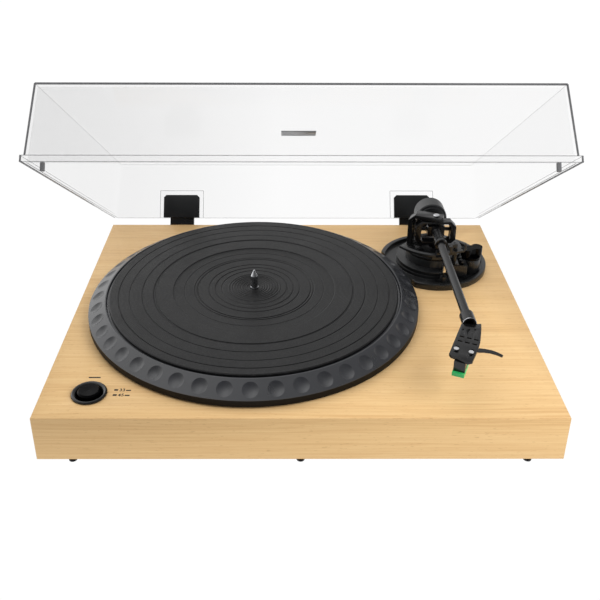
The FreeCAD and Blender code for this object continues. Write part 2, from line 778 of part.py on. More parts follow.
def gimbal_ring():
    """Upright ring round the arm: it turns in the yoke, and the arm rocks in it."""
    part = body("gimbal_ring", *from_pivot(0, 0), deck)
    half_deep, wall, side_wall, corner = 5, 3, 6, 6
    ring = sketch_on(part, "XZ_Plane", -half_deep)
    low, top, half = d.ring_low, d.ring_top, d.ring_half
    outline(ring, [
        (-half + corner, low), (half - corner, low), (half, low + corner), (half, top - corner),
        (half - corner, top), (-half + corner, top), (-half, top - corner), (-half, low + corner),
    ])
    inner = half - side_wall
    outline(ring, [
        (-inner + 3, low + wall), (inner - 3, low + wall), (inner, low + wall + 3),
        (inner, top - wall - 3), (inner - 3, top - wall), (-inner + 3, top - wall),
        (-inner, top - wall - 3), (-inner, low + wall + 3),
    ])
    pad(part, ring, 2 * half_deep)
    stem = sketch_on(part, "XY_Plane", low + 1)
    circle(stem, 0, 0, 4)
    pad(part, stem, low + 1 - d.pedestal_top - 3.4, reverse=True)
    pin = sketch_on(part, "XY_Plane", low + 1)
    circle(pin, 0, 0, 2)
    pad(part, pin, low + 1 - d.pedestal_top + 5, reverse=True)
    cup = sketch_on(part, "XY_Plane", top + 1)
    circle(cup, 0, 0, 1.6)
    pocket(part, cup, 4.2)
    cross = sketch_on(part, "YZ_Plane", -half - 1)
    circle(cross, 0, d.arm_height, 2.05)
    part.Tip = pocket(part, cross, 2 * half + 2, reverse=True)


def arm_housing():
    """Block that rocks on its two trunnions and grips the arm tube."""
    z = deck + d.arm_height
    grip_radius = 5.6
    grip = rod(*from_pivot(0, -13), z, grip_radius, 26, "y")
    block = box(*from_pivot(-9, -6.5), z - grip_radius, 18, 13, 2 * grip_radius)
    nose = rod(*from_pivot(0, -38), z, d.tube_radius + 2.2, 5, "y")
    sleeve = rod(*from_pivot(0, -38), z, d.tube_radius + 1.2, 27, "y")
    trunnions = rod(*from_pivot(-d.ring_half - 0.6, 0), z, 2, 2 * d.ring_half + 1.2, "x")
    bore = rod(*from_pivot(0, -40), z, d.tube_radius, 60, "y")
    node(cut(fuse(grip, block, nose, sleeve, trunnions), bore), "arm_housing")


def arm_tube():
    """Straight tube, with the thinner threaded stub behind the pivot."""
    profile = [
        (d.tube_radius - d.tube_wall, -d.tube_end), (d.tube_radius, -d.tube_end), (d.tube_radius, 19),
        (3, 19), (3, 48), (2.2, 48), (2.2, 12), (d.tube_radius - d.tube_wall, 12),
    ]
    turned("arm_tube", profile, *from_pivot(0, 0), deck + d.arm_height, (1, 0, 0), -90)


def counterweight():
    near, far = d.weight_near, d.weight_near + d.weight_long
    bore, hollow, hollow_deep = 3.1, 11.2, 9
    weight = [
        (bore, near), (d.weight_radius - 1, near), (d.weight_radius, near + 1),
        (d.weight_radius, far - 1), (d.weight_radius - 1, far),
        (hollow, far), (hollow, far - hollow_deep), (bore, far - hollow_deep),
    ]
    turned("counterweight", weight, *from_pivot(0, 0), deck + d.arm_height, (1, 0, 0), -90)
    dial = [
        (bore, near - 4.5), (11, near - 4.5), (d.weight_radius - 2.5, near - 3.5),
        (d.weight_radius - 2.5, near - 0.3), (bore, near - 0.3),
    ]
    turned("force_dial", dial, *from_pivot(0, 0), deck + d.arm_height, (1, 0, 0), -90)


def headshell():
    """Angled shell with a collar on the tube, screw slots and lightening slots."""
    place_of_shell = (*from_pivot(0, -d.tube_end - 1), deck + d.arm_height - 1.5)
    part = body("headshell", *place_of_shell, (0, 0, 1), d.head_turn)
    plate = sketch_on(part, "XY_Plane")
    outline(plate, [
        (-6.6, -3.6), (-5.8, -52), (-3.6, -54.5), (11.8, -57.5), (14.6, -55),
        (15.2, -36), (14.6, -24), (11.6, -6), (9.6, 3),
    ])
    pad(part, plate, d.shell_thick)
    # Slots for the two cartridge screws, then the rows of lightening slots.
    slots = sketch_on(part, "XY_Plane", d.shell_thick + 1)
    screw_apart, screw_wide, screw_from, screw_to = 12.7, 2.8, -48, -38.5
    for side in (-0.5, 0.5):
        x = HEAD_CENTRE + side * screw_apart
        rectangle(slots, x - screw_wide / 2, screw_from, screw_wide, screw_to - screw_from)
    for row_y in (-31.4, -24.2):
        for column in (-1, 0, 1):
            rectangle(slots, HEAD_CENTRE + 6.2 * column - 2, row_y, 4, 1.7)
    for column in (-1, 0, 1):
        circle(slots, HEAD_CENTRE - 2.8 + 4.8 * column, -10.5 + 2 * column, 0.9)
    part.Tip = pocket(part, slots, d.shell_thick + 2)


# The cartridge's centre line, to the right of the headshell's neck, and where its screws are.
HEAD_CENTRE = 4.7
SCREW_Y = -44.5


def head_collar():
    """The knurled collar that locks the headshell to the tube."""
    start, long, bore = d.tube_end - 14, 15, d.tube_radius
    collar = [
        (bore, -start - long), (6.2, -start - long), (6.5, -start - long + 1),
        (6.5, -start - 1), (6.0, -start), (bore, -start),
    ]
    turned("head_collar", collar, *from_pivot(0, 0), deck + d.arm_height, (1, 0, 0), -90)


def head_place(thing, z=0):
    """Put a thing in the headshell's frame, z above the shell's lower face."""
    x, y = from_pivot(0, -d.tube_end - 1)
    return place(thing, x, y, deck + d.arm_height - 1.5 + z, (0, 0, 1), d.head_turn)


def cartridge():
    """Cartridge body under the shell, its stylus unit, two screws and the finger lift."""
    low, long_from, long_to = -9.5, -57.5, -33
    part = body("cartridge")
    head_place(part)
    flange = sketch_on(part, "XY_Plane")
    rectangle(flange, HEAD_CENTRE - 8.6, -49, 17.2, 12)
    pad(part, flange, 3, reverse=True)
    block = sketch_on(part, "XY_Plane")
    rectangle(block, HEAD_CENTRE - 4.8, long_from, 9.6, long_to - long_from)
    pad(part, block, -low, reverse=True)
    screws = sketch_on(part, "XY_Plane", 1)
    for side in (-0.5, 0.5):
        circle(screws, HEAD_CENTRE + side * 12.7, SCREW_Y, 1.25)
    part.Tip = pocket(part, screws, 5)

    part = body("stylus")
    head_place(part)
    grip = sketch_on(part, "YZ_Plane", HEAD_CENTRE - 5.2)
    outline(grip, [
        (long_from - 2.6, low), (long_from - 2.6, low - 3.4), (long_from + 5, low - 4.6),
        (-44, low - 3.2), (-38, low),
    ])
    pad(part, grip, 10.4)
    tip_y, tip_z = -52, -17.2
    needle = sketch_on(part, "XZ_Plane", -tip_y)
    outline(needle, [
        (HEAD_CENTRE - 0.5, low - 2), (HEAD_CENTRE - 0.5, tip_z + 1.4), (HEAD_CENTRE - 0.1, tip_z),
        (HEAD_CENTRE + 0.1, tip_z), (HEAD_CENTRE + 0.5, tip_z + 1.4), (HEAD_CENTRE + 0.5, low - 2),
    ])
    part.Tip = pad(part, needle, 1)

    screws = []
    for side in (-0.5, 0.5):
        x = HEAD_CENTRE + side * 12.7
        one = screw(x, SCREW_Y, d.shell_thick, 2.2, 1.6, 1.2, 7)
        screws.append(one)
    node(head_place(group(*screws)), "cartridge_screws")

    lift = head_place(body("finger_lift"), 0.4)
    strip = sketch_on(lift, "XY_Plane")
    outline(strip, [
        (15.3, -38.4), (20, -36.4), (26, -35.2), (31, -35.6), (35.6, -37),
        (36, -35.4), (31, -33.4), (26, -32.4), (20, -32.8), (15.3, -34),
    ])
    lift.Tip = pad(lift, strip, 1.8)


def arm_rest():
    """Thin upright with a shelf under the tube, and a hook that swings over the tube to lock it."""
    x, y = from_pivot(15.5, 0)
    low, high = d.pedestal_top, d.arm_height
    stand = body("arm_rest", x, y, deck)
    side = sketch_on(stand, "YZ_Plane", -1.3)
    outline(side, [
        (-31, low), (-38.5, low), (-41.2, low + 9), (-41.2, high + 2.6), (-35, high + 2.6), (-31, high - 8),
    ])
    pad(stand, side, 2.6)
    shelf = sketch_on(stand, "XY_Plane", high - 10.2)
    rectangle(shelf, -20, -41.2, 19.5, 6)
    pad(stand, shelf, 2.2)
    foot = sketch_on(stand, "XY_Plane", low)
    rectangle(foot, -4, -38.5, 8, 7.5)
    pad(stand, foot, 1.6)
    arm = sketch_on(stand, "XZ_Plane", 37)
    rectangle(arm, -8.6, high - 1.8, 8, 3.6)
    pad(stand, arm, 4.2)
    bore = sketch_on(stand, "XZ_Plane", 46)
    circle(bore, CLIP_X, high, 1.05)
    stand.Tip = pocket(stand, bore, 12)

    # The hook is drawn closed over the tube, and placed folded back to the outer side.
    hook = body("arm_clip", x + CLIP_X, y - 41.5, deck + high, (0, 1, 0), CLIP_OPEN)
    side = sketch_on(hook, "XZ_Plane")
    outline(side, [
        (1.8, -1.8), (1.8, 5.2), (-0.5, 7), (-12.5, 7), (-16.2, 4), (-16.2, -2.2),
        (-14.4, -2.2), (-14.4, 3), (-12, 5.1), (-3.6, 5.1), (-1.8, 3.6), (-1.8, -1.8),
    ])
    pad(hook, side, 3.4)
    pin = sketch_on(hook, "XZ_Plane", -3.5)
    circle(pin, 0, 0, 1)
    hook.Tip = pad(hook, pin, 4)


# The arm clip's hinge line, from the middle of the upright, and how far it is folded back.
CLIP_X = -6
CLIP_OPEN = 170


def cueing():
    """Damped cylinder, the curved platform on its piston, and the lever that raises it."""
    piston_x, piston_y = 3.5, -48.4
    x, y = from_pivot(piston_x, piston_y)
    floor, tall = 3, 9.5
    outer = rod(x, y, deck + floor, 3.6, tall)
    node(cut(outer, rod(x, y, deck + floor + 2, 1.55, tall)), "cue_cylinder")

    part = body("cue_platform", *from_pivot(0, 0), deck)
    thick, half_wide = 2.6, 2.2
    top = d.cue_top
    start, end = math.radians(-90 - 8), math.radians(-90 - 55)
    shelf = sketch_on(part, "XY_Plane", top - thick)
    r_in, r_out = d.cue_radius - half_wide, d.cue_radius + half_wide
    points = [start + (end - start) * i / 12 for i in range(13)]
    outer_side = [(r_out * math.cos(a), r_out * math.sin(a)) for a in points]
    inner_side = [(r_in * math.cos(a), r_in * math.sin(a)) for a in reversed(points)]
    outline(shelf, outer_side + inner_side)
    pad(part, shelf, thick)
    link = sketch_on(part, "XY_Plane", top - thick - 2.5)
    outline(link, [(-11, -51.5), (-5.5, -45.5), (6, -45.5), (6, -51.5)])
    pad(part, link, 2.5)
    piston = sketch_on(part, "XY_Plane", top - thick - 1)
    circle(piston, piston_x, piston_y, 1.5)
    part.Tip = pad(part, piston, top - thick - 1 - 10.2, reverse=True)

    x, y = from_pivot(24, -30)
    lever = body("cue_lever", x, y, deck + d.pedestal_top - 2)
    side = sketch_on(lever, "YZ_Plane", -2)
    outline(side, [
        (-2.5, -2.5), (2.5, -2.5), (2.5, 2.5), (-4, 7), (-14, 11), (-15, 8.5), (-5, 3.5), (-2.5, 1),
    ])
    pad(lever, side, 4)
    pivot = sketch_on(lever, "YZ_Plane", -2.4)
    circle(pivot, 0, 0, 1.2)
    lever.Tip = pad(lever, pivot, 4.8)

    knob_z = d.pedestal_top + 0.4
    knob = [(0, -5), (3, -5), (3, 0), (d.knob_radius, 0), (d.knob_radius, 2), (9.4, 2.8), (0, 2.8)]
    place_of_knob = (*from_pivot(d.knob_x, d.knob_y), deck + knob_z)
    dial = turned("anti_skate_knob", knob, *place_of_knob, (0, 0, 1), 20)
    lobe, apart, bar_half, grip_tall = 6, 6.2, 4.5, 8.6
    bar = sketch_on(dial, "XY_Plane", 2.7)
    rectangle(bar, -apart, -bar_half, 2 * apart, 2 * bar_half)
    pad(dial, bar, grip_tall)
    for side in (-1, 1):
        end = sketch_on(dial, "XY_Plane", 2.7)
        circle(end, side * apart, 0, lobe)
        dial.Tip = pad(dial, end, grip_tall)


# ---------------------------------------------------------------- dust cover and hinges
def lid_place(thing):
    """Put a thing that is drawn closed, with the hinge axis as its origin, at the open angle."""
    return place(thing, 0, d.hinge_y, deck - d.hinge_drop, (1, 0, 0), -d.lid_open)


def drafted(part, kind, low, high):
    """Add or cut a straight-sided loft between two sketches."""
    feature = part.newObject("PartDesign::" + kind, "drafted")
    feature.Profile = low
    feature.Sections = [high]
    feature.Ruled = True
    return feature


def dust_cover():
    """Clear five-sided cover, drafted on three sides, with a lip round them and hinge notches."""
    part = lid_place(body("dust_cover"))
    rim, back = d.rim_above_axis, d.plinth_depth / 2 - d.hinge_y - d.fit_gap
    front = back - d.lid_depth
    half = d.lid_width / 2
    wall_half = half - d.lid_lip
    lip = sketch_on(part, "XY_Plane", rim)
    rectangle(lip, -half, front, d.lid_width, d.lid_depth)
    pad(part, lip, d.lip_tall)

    def level(inset, back_inset, height):
        """The walls' outline at a height above the rim, drawn in by the draft there."""
        side = inset + d.lid_draft * height / d.lid_height
        sketch = sketch_on(part, "XY_Plane", rim + height)
        near = front + d.lid_lip + side
        rectangle(sketch, side - wall_half, near, 2 * (wall_half - side), back - back_inset - near)
        return sketch

    drafted(part, "AdditiveLoft", level(0, 0, 0), level(0, 0, d.lid_height))
    round_edges(part, 3, lambda edge: edge.BoundBox.ZLength > 40)
    inside = d.lid_height - d.lid_wall
    drafted(part, "SubtractiveLoft", level(d.lid_wall, d.lid_wall, 0), level(d.lid_wall, d.lid_wall, inside))

    ribs = sketch_on(part, "XZ_Plane", d.lid_wall - back)
    rib, gap, rib_tall = 2.2, 2.6, 34
    notch = sketch_on(part, "XZ_Plane", -back - 1)
    for side in (-1, 1):
        x = side * d.hinge_x
        out = d.hinge_wide / 2 + gap + rib
        outline(ribs, [
            (x - out, rim), (x - out, rim + rib_tall), (x + out, rim + rib_tall), (x + out, rim),
            (x + out - rib, rim), (x + out - rib, rim + rib_tall - rib),
            (x - out + rib, rim + rib_tall - rib), (x - out + rib, rim),
        ])
        rectangle(notch, x - d.knuckle_half - 0.5, rim - 1, 2 * d.knuckle_half + 1, 4.6)
    pad(part, ribs, 1)
    part.Tip = pocket(part, notch, d.lid_wall + 3, reverse=True)

    badge = lid_place(body("lid_badge"))
    face = sketch_on(badge, "XY_Plane", rim + d.lid_height)
    rectangle(face, -18, back - 178, 36, 20)
    badge.Tip = pad(badge, face, 0.8)

    bumpers = []
    inner, wide = wall_half - d.lid_wall - 0.6, 3.5
    for low_x in (-inner, inner - wide):
        bumpers.append(box(low_x, back - 320, rim - 0.4, wide, 4, 8))
    node(lid_place(group(*bumpers)), "lid_bumpers")


def hinge(side, name):
    """One hinge: a clamp round the cover's back wall, turning on a pin in a bracket."""
    x = side * d.hinge_x
    rim, back = d.rim_above_axis, d.plinth_depth / 2 - d.hinge_y - d.fit_gap
    inner_face = back - d.lid_wall - 0.1
    plate_thick, web_tall, arm_thick = 4, 3.2, 5
    clamp = lid_place(body("hinge_clamp_" + name))
    plate = sketch_on(clamp, "XZ_Plane", -inner_face)
    half, tall, corner = d.hinge_wide / 2, d.hinge_tall, 3
    outline(plate, [
        (x - half, rim + 0.2), (x + half, rim + 0.2), (x + half, rim + tall - corner),
        (x + half - corner, rim + tall), (x - half + corner, rim + tall), (x - half, rim + tall - corner),
    ])
    pad(clamp, plate, plate_thick)
    arm_face = back + 0.8
    web = sketch_on(clamp, "YZ_Plane", x - d.knuckle_half)
    outline(web, [
        (inner_face - plate_thick, rim + 0.2), (arm_face, rim + 0.2), (arm_face, 0),
        (arm_face + arm_thick, 0), (arm_face + arm_thick, rim + 22), (arm_face, rim + 22),
        (arm_face, rim + 0.2 + web_tall), (inner_face - plate_thick, rim + 0.2 + web_tall),
    ])
    pad(clamp, web, 2 * d.knuckle_half)
    knuckle = sketch_on(clamp, "YZ_Plane", x - d.knuckle_half)
    circle(knuckle, 0, 0, d.knuckle_radius)
    pad(clamp, knuckle, 2 * d.knuckle_half)
    gap_half = 7.5
    gap = sketch_on(clamp, "YZ_Plane", x - gap_half)
    circle(gap, 0, 0, d.knuckle_radius + 0.6)
    pocket(clamp, gap, 2 * gap_half, reverse=True)
    bore = sketch_on(clamp, "YZ_Plane", x - d.knuckle_half - 1)
    circle(bore, 0, 0, d.pin_radius + d.running_gap)
    clamp.Tip = pocket(clamp, bore, 2 * d.knuckle_half + 2, reverse=True)

    y, z = d.hinge_y, deck - d.hinge_drop
    wall = d.plinth_depth / 2
    ear_in, ear_thick = d.knuckle_half + 0.4, 3.4
    plate_half = ear_in + ear_thick
    flange = box(x - plate_half, wall, z - 24, 2 * plate_half, 3, 17)
    ears = []
    for way in (-1, 1):
        low_x = x + ear_in if way > 0 else x - ear_in - ear_thick
        ears.append(box(low_x, wall, z - 24, ear_thick, y - wall + 2, 24))
        ears.append(box(low_x, wall, z - 4, ear_thick, y - wall, 8))
        ears.append(rod(low_x, y, z, 6, ear_thick, "x"))
    pin_hole = rod(x - plate_half - 1, y, z, d.pin_radius, 2 * plate_half + 2, "x")
    holes = [rod(x + way * 9, wall - 1, z - 16, 1.9, 6, "y") for way in (-1, 1)]
    node(cut(fuse(flange, *ears), pin_hole, *holes), "hinge_bracket_" + name)
    pin = rod(x - plate_half - 1, y, z, d.pin_radius, 2 * plate_half + 2, "x")
    coil = cut(rod(x - 6.5, y, z, 4, 13, "x"), rod(x - 7, y, z, 2.6, 14, "x"))
    return pin, coil


def hinges():
    pins, coils = [], []
    for side, name in ((-1, "left"), (1, "right")):
        pin, coil = hinge(side, name)
        pins.append(pin)
        coils.append(coil)
    node(group(*pins), "hinge_pins")
    node(group(*coils), "hinge_springs")


# ---------------------------------------------------------------- build and write
plinth()
feet()
platter()
slip_mat()
bearing()
deck_screws(drive())
speed_button()
electrics()
arm_base()
pedestal()
yoke()
gimbal_ring()
arm_housing()
arm_tube()
counterweight()
headshell()
head_collar()
cartridge()
arm_rest()
cueing()
dust_cover()
hinges()
doc.recompute()

faults = [f"{o.Name} ({o.Label}): {o.State}" for o in doc.Objects if {"Invalid", "Error"} & set(o.State)]
for part in nodes:
    if part.Shape.isNull() or not part.Shape.isValid() or not part.Shape.Solids:
        faults.append(f"{part.Label}: no valid solid")
if faults:
    raise RuntimeError("; ".join(faults))

os.makedirs("parts", exist_ok=True)
for part in nodes:
    part.Shape.exportStep(f"parts/{part.Label}.step")
print(len(nodes), "sub-parts written")
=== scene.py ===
"""Visual model of a turntable record player, built on the shared CAD frame, in metres."""

import json
import math

import bmesh
import bpy
from mathutils import Matrix, Vector

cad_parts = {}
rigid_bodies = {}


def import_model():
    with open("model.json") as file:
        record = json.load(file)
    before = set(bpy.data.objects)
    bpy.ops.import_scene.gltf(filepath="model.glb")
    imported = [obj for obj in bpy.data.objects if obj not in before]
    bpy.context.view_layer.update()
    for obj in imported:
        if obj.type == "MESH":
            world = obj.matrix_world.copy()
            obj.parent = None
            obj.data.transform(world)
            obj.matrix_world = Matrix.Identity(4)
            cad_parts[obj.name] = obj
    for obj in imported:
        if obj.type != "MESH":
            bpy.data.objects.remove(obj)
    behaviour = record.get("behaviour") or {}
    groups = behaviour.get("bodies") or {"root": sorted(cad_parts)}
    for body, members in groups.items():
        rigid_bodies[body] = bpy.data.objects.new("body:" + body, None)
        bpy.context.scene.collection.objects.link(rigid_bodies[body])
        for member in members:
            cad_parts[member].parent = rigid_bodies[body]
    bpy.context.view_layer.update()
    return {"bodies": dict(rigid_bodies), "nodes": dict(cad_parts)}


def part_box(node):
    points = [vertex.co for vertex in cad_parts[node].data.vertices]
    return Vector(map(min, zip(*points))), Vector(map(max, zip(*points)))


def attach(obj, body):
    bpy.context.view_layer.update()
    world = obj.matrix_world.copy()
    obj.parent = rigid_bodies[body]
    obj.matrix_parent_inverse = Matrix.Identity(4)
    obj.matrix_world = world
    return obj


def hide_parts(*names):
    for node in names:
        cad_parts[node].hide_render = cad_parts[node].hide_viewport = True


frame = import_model()
nodes = frame["nodes"]
MM = 0.001


# ---------------------------------------------------------------- materials

def shade(red, green, blue):
    """A colour given as display values from 0 to 255, as the linear light a shader takes."""
    linear = []
    for value in (red, green, blue):
        value /= 255
        linear.append(value / 12.92 if value <= 0.04045 else ((value + 0.055) / 1.055) ** 2.4)
    return (*linear, 1)


class Paint:
    """A node material under construction: one Principled surface and the nodes that feed it."""

    def __init__(self, name, **surface):
        self.made = bpy.data.materials.new(name)
        self.made.use_nodes = True
        self.tree = self.made.node_tree
        self.surface = self.tree.nodes["Principled BSDF"]
        self.where = self.add("ShaderNodeTexCoord").outputs["Object"]
        for key, value in surface.items():
            self.set(key.replace("_", " "), value)

    def add(self, kind, inputs=(), **settings):
        """A new node with its settings and inputs; an input's value is a number or another node's output."""
        new = self.tree.nodes.new(kind)
        for key, value in settings.items():
            setattr(new, key, value)
        for key, value in dict(inputs).items():
            self.feed(new.inputs[key], value)
        return new

    def feed(self, socket, value):
        if isinstance(value, bpy.types.NodeSocket):
            self.tree.links.new(value, socket)
        else:
            socket.default_value = value

    def set(self, name, value):
        self.feed(self.surface.inputs[name], value)

    def maths(self, operation, *values):
        return self.add("ShaderNodeMath", enumerate(values), operation=operation).outputs[0]

    def vector(self, operation, *values):
        return self.add("ShaderNodeVectorMath", enumerate(values), operation=operation).outputs[0]

    def noise(self, stretch, detail=2, shift=0.0, where=None, rough=0.5):
        """Noise whose features are 1 / stretch metres across along each axis."""
        if not isinstance(stretch, tuple):
            stretch = (stretch, stretch, stretch)
        place = self.vector("MULTIPLY", where or self.where, stretch)
        place = self.vector("ADD", place, (shift, shift * 1.7, shift * 0.6))
        inputs = {"Vector": place, "Scale": 1, "Detail": detail, "Roughness": rough}
        return self.add("ShaderNodeTexNoise", inputs).outputs["Fac"]

    def range(self, value, low, high, to_low=0.0, to_high=1.0):
        inputs = {"Value": value, 1: low, 2: high, 3: to_low, 4: to_high}
        return self.add("ShaderNodeMapRange", inputs).outputs["Result"]

    def ramp(self, value, *stops):
        """A colour ramp; each stop is a place from 0 to 1 and a colour."""
        new = self.add("ShaderNodeValToRGB", {"Fac": value})
        while len(new.color_ramp.elements) < len(stops):
            new.color_ramp.elements.new(1)
        for element, (place, colour) in zip(new.color_ramp.elements, stops):
            element.position = place
            element.color = colour
        return new.outputs["Color"]

    def mix(self, share, one, other, blend="MIX"):
        new = self.add("ShaderNodeMix", {0: share}, data_type="RGBA", blend_type=blend)
        self.feed(new.inputs[6], one)
        self.feed(new.inputs[7], other)
        return new.outputs[2]

    def bump(self, height, depth, below=None):
        """Relief of the given depth in metres, on top of another relief."""
        inputs = {"Height": height, "Distance": depth, "Strength": 1}
        if below:
            inputs["Normal"] = below
        return self.add("ShaderNodeBump", inputs).outputs["Normal"]

    def radius_from(self, x, y):
        """Distance from an upright axis."""
        arm = self.vector("SUBTRACT", self.where, (x, y, 0))
        flat = self.vector("MULTIPLY", arm, (1, 1, 0))
        return self.add("ShaderNodeVectorMath", {0: flat}, operation="LENGTH").outputs["Value"]


def beech(name, along, shift):
    """Pale beech veneer: broad soft bands, fine streaks, fibres and short ray flecks along the grain."""
    paint = Paint(name, IOR=1.5)

    def across(length_wise, cross_wise):
        if along == "x":
            return (length_wise, cross_wise, cross_wise)
        return (cross_wise, length_wise, cross_wise)

    waver = paint.range(paint.noise(across(2.6, 7), 2, shift), 0, 1, -0.007, 0.007)
    sideways = paint.add("ShaderNodeCombineXYZ", {1 if along == "x" else 0: waver, 2: waver}).outputs[0]
    grain = paint.vector("ADD", paint.where, sideways)
    bands = paint.noise(across(0.5, 55), 3, shift + 3, grain)
    streaks = paint.noise(across(1.6, 420), 3, shift + 7, grain, 0.6)
    fibres = paint.noise(across(26, 1300), 3, shift + 11, grain, 0.6)
    flecks = paint.noise(across(170, 950), 1, shift + 17, grain)
    lines = paint.noise(across(8, 640), 2, shift + 23, grain, 0.7)
    figure = paint.maths("ADD", paint.maths("MULTIPLY", bands, 0.38), paint.maths("MULTIPLY", streaks, 0.62))
    light, middle, dark = shade(237, 203, 150), shade(230, 193, 139), shade(211, 170, 117)
    colour = paint.ramp(figure, (0.24, dark), (0.45, middle), (0.66, light))
    colour = paint.mix(paint.range(fibres, 0.35, 0.75, 0, 0.2), colour, shade(208, 164, 112), "MULTIPLY")
    colour = paint.mix(paint.range(lines, 0.5, 0.75, 0, 0.22), colour, shade(206, 164, 116), "MULTIPLY")
    fleck_share = paint.range(flecks, 0.66, 0.74, 0, 0.3)
    colour = paint.mix(fleck_share, colour, shade(176, 128, 82))
    paint.set("Base Color", colour)
    paint.set("Roughness", paint.range(streaks, 0.3, 0.7, 0.4, 0.52))
    paint.set("Specular IOR Level", 0.1)
    relief = paint.bump(fibres, 0.02 * MM)
    paint.set("Normal", paint.bump(flecks, 0.01 * MM, relief))
    return paint.made


def moulded(name, colour, rough, specular=0.5, grain=0.5, depth=0.012, uneven=7):
    """Moulded or painted plastic: fine spark texture, soft mottling and handling wear in its gloss."""
    paint = Paint(name)
    red, green, blue = colour
    mottle = paint.noise(60, 3)
    texture = paint.noise(1000 / grain, 2, 5)
    wear = paint.noise(18, 4, 9)
    lighter = shade(red + uneven, green + uneven, blue + uneven)
    paint.set("Base Color", paint.ramp(mottle, (0.35, shade(red, green, blue)), (0.7, lighter)))
    paint.set("Roughness", paint.range(wear, 0.3, 0.7, rough - uneven * 0.007, rough + uneven * 0.008))
    paint.set("Specular IOR Level", specular)
    paint.set("Normal", paint.bump(texture, depth * MM))
    return paint.made


def bare_metal(name, colour, rough, brushed=(1, 1, 1)):
    """Plated or machined metal: fine tool lines, a little tarnish and small scratches."""
    paint = Paint(name, Metallic=1)
    tarnish = paint.noise(90, 3)
    lines = paint.noise(tuple(share * 2200 for share in brushed), 2, 4)
    red, green, blue = colour
    duller = shade(red * 0.86, green * 0.86, blue * 0.86)
    paint.set("Base Color", paint.ramp(tarnish, (0.3, duller), (0.6, shade(*colour))))
    paint.set("Roughness", paint.range(lines, 0.3, 0.7, rough * 0.75, rough * 1.3))
    paint.set("Normal", paint.bump(lines, 0.004 * MM))
    return paint.made


def rubber(name, colour, rough):
    """Moulded rubber: matte, with dust-pale specks and a fine pebble."""
    paint = Paint(name)
    cloud = paint.noise(45, 4)
    specks = paint.noise(1600, 1, 3)
    red, green, blue = colour
    base = paint.ramp(cloud, (0.3, shade(red, green, blue)), (0.75, shade(red + 6, green + 6, blue + 6)))
    share = paint.range(specks, 0.72, 0.8, 0, 0.35)
    paint.set("Base Color", paint.mix(share, base, shade(red + 45, green + 45, blue + 45)))
    paint.set("Roughness", paint.range(cloud, 0.3, 0.7, rough - 0.05, rough + 0.05))
    paint.set("Specular IOR Level", 0.3)
    paint.set("Normal", paint.bump(paint.noise(2600, 2, 8), 0.03 * MM))
    return paint.made


def mat_rubber(x, y):
    """The record mat's rubber: as other rubber, with turned lines a millimetre apart round its centre."""
    paint = Paint("mat_rubber_rings")
    radius = paint.radius_from(x, y)
    cloud = paint.noise(30, 4)
    specks = paint.noise(900, 2, 3)
    turned = paint.maths("SINE", paint.maths("MULTIPLY", radius, math.tau / (1.25 * MM)))
    base = paint.ramp(cloud, (0.3, shade(10, 10, 11)), (0.75, shade(17, 17, 18)))
    share = paint.range(specks, 0.52, 0.74, 0, 0.22)
    paint.set("Base Color", paint.mix(share, base, shade(78, 78, 79)))
    paint.set("Roughness", paint.range(cloud, 0.3, 0.7, 0.42, 0.5))
    paint.set("Specular IOR Level", 0.32)
    relief = paint.bump(turned, 0.08 * MM)
    paint.set("Normal", paint.bump(paint.noise(2400, 2, 8), 0.03 * MM, relief))
    return paint.made


def platter_paint(x, y):
    """Satin charcoal paint on cast aluminium, flat black on the rim's side, with faint lathe rings."""
    paint = Paint("platter_satin")
    radius = paint.radius_from(x, y)
    peel = paint.noise(700, 3)
    cloud = paint.noise(22, 3, 6)
    rings = paint.maths("SINE", paint.maths("MULTIPLY", radius, math.tau / (0.8 * MM)))
    height = paint.add("ShaderNodeSeparateXYZ", {0: paint.where}).outputs[2]
    face = paint.range(height, platter_low.z + 6.1 * MM, platter_low.z + 6.5 * MM)
    satin = paint.ramp(cloud, (0.3, shade(37, 38, 41)), (0.7, shade(43, 44, 48)))
    paint.set("Base Color", paint.mix(face, shade(10, 10, 11), satin))
    gloss = paint.range(cloud, 0.3, 0.7, 0.25, 0.32)
    flat_rough = 0.55
    smoother = paint.maths("MULTIPLY", face, paint.maths("SUBTRACT", flat_rough, gloss))
    paint.set("Roughness", paint.maths("SUBTRACT", flat_rough, smoother))
    paint.set("Specular IOR Level", paint.range(face, 0, 1, 0.2, 0.75))
    relief = paint.bump(rings, 0.0012 * MM)
    paint.set("Normal", paint.bump(peel, 0.012 * MM, relief))
    return paint.made


def clear_acrylic(name, grey, cover, left_shade_veil=None):
    """Clear acrylic sheet: its own grey, and how much it veils what is behind it; a given left_shade_veil
    makes the veil heavier towards its left end as painted shade.
    """
    paint = Paint(name, IOR=1.49, Alpha=cover)
    haze = paint.noise(14, 4)
    lighter = shade(grey + 12, grey + 12, grey + 14)
    paint.set("Base Color", paint.ramp(haze, (0.3, shade(grey, grey, grey + 2)), (0.7, lighter)))
    paint.set("Roughness", paint.range(haze, 0.35, 0.75, 0.02, 0.06))
    if left_shade_veil:
        # Painted shade: a heavier veil towards the sheet's left end stands in for dimmer light there.
        side = paint.add("ShaderNodeSeparateXYZ", {0: paint.where}).outputs[0]
        paint.set("Alpha", paint.range(side, -0.2, -0.02, left_shade_veil, cover))
    return paint.made


def printed_board():
    """Green solder mask with copper tracks under it."""
    paint = Paint("board_mask", Roughness=0.3)
    tracks = paint.add("ShaderNodeTexBrick", {"Vector": paint.where, "Scale": 190.0, "Mortar Size": 0.012})
    paint.feed(tracks.inputs["Color1"], shade(18, 74, 42))
    paint.feed(tracks.inputs["Color2"], shade(22, 84, 48))
    paint.feed(tracks.inputs["Mortar"], shade(58, 128, 72))
    patches = paint.noise(300, 2)
    paint.set("Base Color", paint.mix(patches, tracks.outputs["Color"], shade(14, 60, 36), "MULTIPLY"))
    paint.set("Normal", paint.bump(tracks.outputs["Fac"], 0.03 * MM))
    return paint.made


